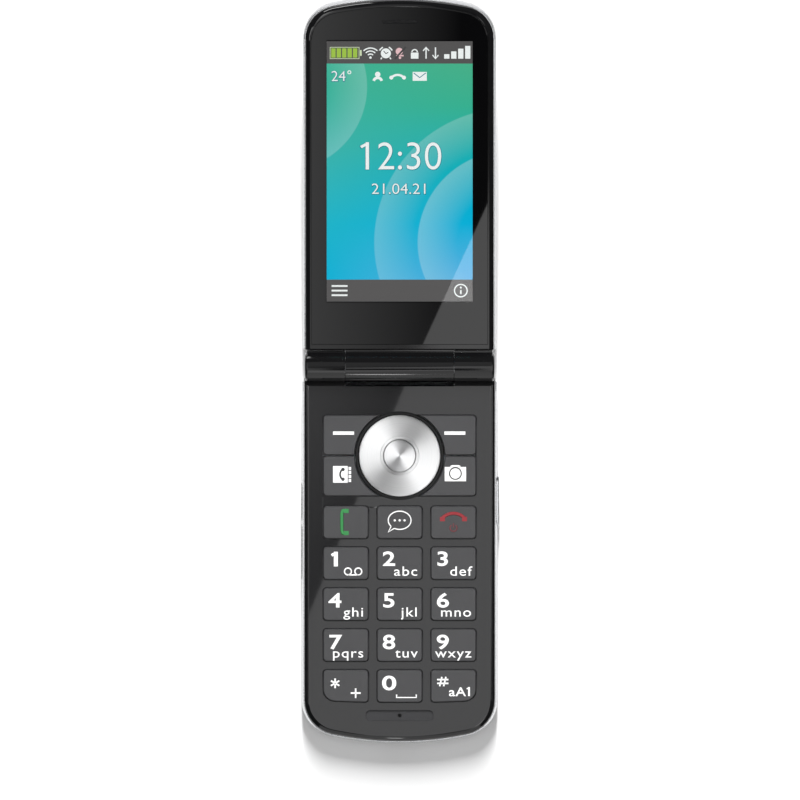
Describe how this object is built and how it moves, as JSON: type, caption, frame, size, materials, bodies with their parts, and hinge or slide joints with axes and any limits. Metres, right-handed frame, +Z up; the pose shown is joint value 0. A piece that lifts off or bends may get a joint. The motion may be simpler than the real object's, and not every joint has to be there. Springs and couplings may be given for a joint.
{
  "type": "flip phone",
  "caption": "Open clamshell mobile phone with a large display in the lid, a round navigation ring, soft keys and a numeric keypad.",
  "frame": {"origin": "centre of the base's flat back face, which rests on the table", "axes": "+X to the right of the keypad, +Y from the keypad end towards the hinge and lid, +Z up out of the keys"},
  "size_m": [0.0546, 0.2066, 0.0318],
  "materials": {
    "frame_black": "gloss moulded, black",
    "face_grey": "satin moulded, dark grey",
    "band_silver": "metallic silver paint on moulded plastic",
    "cover_black": "fine matt texture, black",
    "key_grey": "satin moulded, grey",
    "nav_metal": "turned, satin",
    "inner_plastic": "moulded, black",
    "cell": "wrapped cell, dark grey",
    "board_green": "solder mask",
    "tin_steel": "tinned sheet",
    "contact_brass": "gold plated",
    "film": "clear polyester film",
    "silicone": "silicone rubber, grey",
    "window_glass": "clear window with a black printed border",
    "camera_glass": "dark camera window",
    "display": "lit colour display",
    "flex_amber": "polyimide flex"
  },
  "bodies": {
    "base": {"base_front_housing": "face_grey", "base_rear_housing": "band_silver", "battery": "cell", "battery_contacts": "contact_brass", "main_board": "board_green", "shield_cans": "tin_steel", "sim_socket": "tin_steel", "dome_sheet": "film", "keypad_mat": "silicone", "loudspeaker": "inner_plastic", "microphone": "contact_brass", "vibration_motor": "tin_steel", "usb_port": "tin_steel", "antenna": "film", "side_switches": "film", "base_screws": "tin_steel", "hinge_can": "tin_steel", "hinge_spring": "tin_steel", "hinge_cam": "tin_steel", "hinge_bush": "tin_steel"},
    "lid": {"lid_front_housing": "frame_black", "lid_rear_housing": "band_silver", "lid_back_cover": "frame_black", "display_window": "window_glass", "lcd_panel": "display", "lid_board": "board_green", "earpiece": "inner_plastic", "earpiece_mesh": "tin_steel", "camera_module": "inner_plastic", "camera_window": "camera_glass", "lid_magnet": "tin_steel", "lid_screws": "tin_steel", "hinge_follower": "tin_steel", "display_flex": "flex_amber"},
    "battery_cover": {"battery_cover": "cover_black"},
    "key_soft_left": {"key_soft_left": "key_grey"},
    "key_soft_right": {"key_soft_right": "key_grey"},
    "key_contacts": {"key_contacts": "key_grey"},
    "key_camera": {"key_camera": "key_grey"},
    "key_call": {"key_call": "key_grey"},
    "key_message": {"key_message": "key_grey"},
    "key_end": {"key_end": "key_grey"},
    "key_1": {"key_1": "key_grey"},
    "key_2": {"key_2": "key_grey"},
    "key_3": {"key_3": "key_grey"},
    "key_4": {"key_4": "key_grey"},
    "key_5": {"key_5": "key_grey"},
    "key_6": {"key_6": "key_grey"},
    "key_7": {"key_7": "key_grey"},
    "key_8": {"key_8": "key_grey"},
    "key_9": {"key_9": "key_grey"},
    "key_star": {"key_star": "key_grey"},
    "key_0": {"key_0": "key_grey"},
    "key_hash": {"key_hash": "key_grey"},
    "nav_rocker": {"nav_rocker": "inner_plastic"},
    "nav_ring": {"nav_ring": "nav_metal"},
    "ok_button": {"ok_button": "nav_metal"},
    "side_key_left": {"side_key_left": "band_silver"},
    "volume_rocker": {"volume_rocker": "band_silver"},
    "side_key_right": {"side_key_right": "band_silver"}
  },
  "joints": [
    {"name": "lid_hinge", "type": "hinge", "parent": "base", "child": "lid", "pos_m": [0, 0.05, 0.011], "axis": [1, 0, 0], "range_deg": [0, 168]},
    {"name": "cover_release", "type": "slide", "parent": "base", "child": "battery_cover", "axis": [0, 0, -1], "range_m": [0, 0.008]},
    {"name": "key_soft_left_press", "type": "slide", "parent": "base", "child": "key_soft_left", "axis": [0, 0, -1], "range_m": [0, 0.0003], "stiffness_N_per_m": 1500},
    {"name": "key_soft_right_press", "type": "slide", "parent": "base", "child": "key_soft_right", "axis": [0, 0, -1], "range_m": [0, 0.0003], "stiffness_N_per_m": 1500},
    {"name": "key_contacts_press", "type": "slide", "parent": "base", "child": "key_contacts", "axis": [0, 0, -1], "range_m": [0, 0.0003], "stiffness_N_per_m": 1500},
    {"name": "key_camera_press", "type": "slide", "parent": "base", "child": "key_camera", "axis": [0, 0, -1], "range_m": [0, 0.0003], "stiffness_N_per_m": 1500},
    {"name": "key_call_press", "type": "slide", "parent": "base", "child": "key_call", "axis": [0, 0, -1], "range_m": [0, 0.0003], "stiffness_N_per_m": 1500},
    {"name": "key_message_press", "type": "slide", "parent": "base", "child": "key_message", "axis": [0, 0, -1], "range_m": [0, 0.0003], "stiffness_N_per_m": 1500},
    {"name": "key_end_press", "type": "slide", "parent": "base", "child": "key_end", "axis": [0, 0, -1], "range_m": [0, 0.0003], "stiffness_N_per_m": 1500},
    {"name": "key_1_press", "type": "slide", "parent": "base", "child": "key_1", "axis": [0, 0, -1], "range_m": [0, 0.0003], "stiffness_N_per_m": 1500},
    {"name": "key_2_press", "type": "slide", "parent": "base", "child": "key_2", "axis": [0, 0, -1], "range_m": [0, 0.0003], "stiffness_N_per_m": 1500},
    {"name": "key_3_press", "type": "slide", "parent": "base", "child": "key_3", "axis": [0, 0, -1], "range_m": [0, 0.0003], "stiffness_N_per_m": 1500},
    {"name": "key_4_press", "type": "slide", "parent": "base", "child": "key_4", "axis": [0, 0, -1], "range_m": [0, 0.0003], "stiffness_N_per_m": 1500},
    {"name": "key_5_press", "type": "slide", "parent": "base", "child": "key_5", "axis": [0, 0, -1], "range_m": [0, 0.0003], "stiffness_N_per_m": 1500},
    {"name": "key_6_press", "type": "slide", "parent": "base", "child": "key_6", "axis": [0, 0, -1], "range_m": [0, 0.0003], "stiffness_N_per_m": 1500},
    {"name": "key_7_press", "type": "slide", "parent": "base", "child": "key_7", "axis": [0, 0, -1], "range_m": [0, 0.0003], "stiffness_N_per_m": 1500},
    {"name": "key_8_press", "type": "slide", "parent": "base", "child": "key_8", "axis": [0, 0, -1], "range_m": [0, 0.0003], "stiffness_N_per_m": 1500},
    {"name": "key_9_press", "type": "slide", "parent": "base", "child": "key_9", "axis": [0, 0, -1], "range_m": [0, 0.0003], "stiffness_N_per_m": 1500},
    {"name": "key_star_press", "type": "slide", "parent": "base", "child": "key_star", "axis": [0, 0, -1], "range_m": [0, 0.0003], "stiffness_N_per_m": 1500},
    {"name": "key_0_press", "type": "slide", "parent": "base", "child": "key_0", "axis": [0, 0, -1], "range_m": [0, 0.0003], "stiffness_N_per_m": 1500},
    {"name": "key_hash_press", "type": "slide", "parent": "base", "child": "key_hash", "axis": [0, 0, -1], "range_m": [0, 0.0003], "stiffness_N_per_m": 1500},
    {"name": "nav_left_right", "type": "hinge", "parent": "base", "child": "nav_rocker", "pos_m": [0, 0.0255, 0.009], "axis": [0, 1, 0], "range_deg": [-1.2, 1.2], "stiffness_Nm_per_rad": 0.3},
    {"name": "nav_up_down", "type": "hinge", "parent": "nav_rocker", "child": "nav_ring", "pos_m": [0, 0.0255, 0.009], "axis": [1, 0, 0], "range_deg": [-1.2, 1.2], "stiffness_Nm_per_rad": 0.3},
    {"name": "ok_button_press", "type": "slide", "parent": "base", "child": "ok_button", "axis": [0, 0, -1], "range_m": [0, 0.0003], "stiffness_N_per_m": 1500},
    {"name": "side_key_left_press", "type": "slide", "parent": "base", "child": "side_key_left", "axis": [1, 0, 0], "range_m": [0, 0.0003], "stiffness_N_per_m": 1500},
    {"name": "volume_rock", "type": "hinge", "parent": "base", "child": "volume_rocker", "pos_m": [-0.0254, -0.00105, 0.0063], "axis": [0, 0, 1], "range_deg": [-1, 1], "stiffness_Nm_per_rad": 0.14},
    {"name": "side_key_right_press", "type": "slide", "parent": "base", "child": "side_key_right", "axis": [-1, 0, 0], "range_m": [0, 0.0003], "stiffness_N_per_m": 1500}
  ]
}
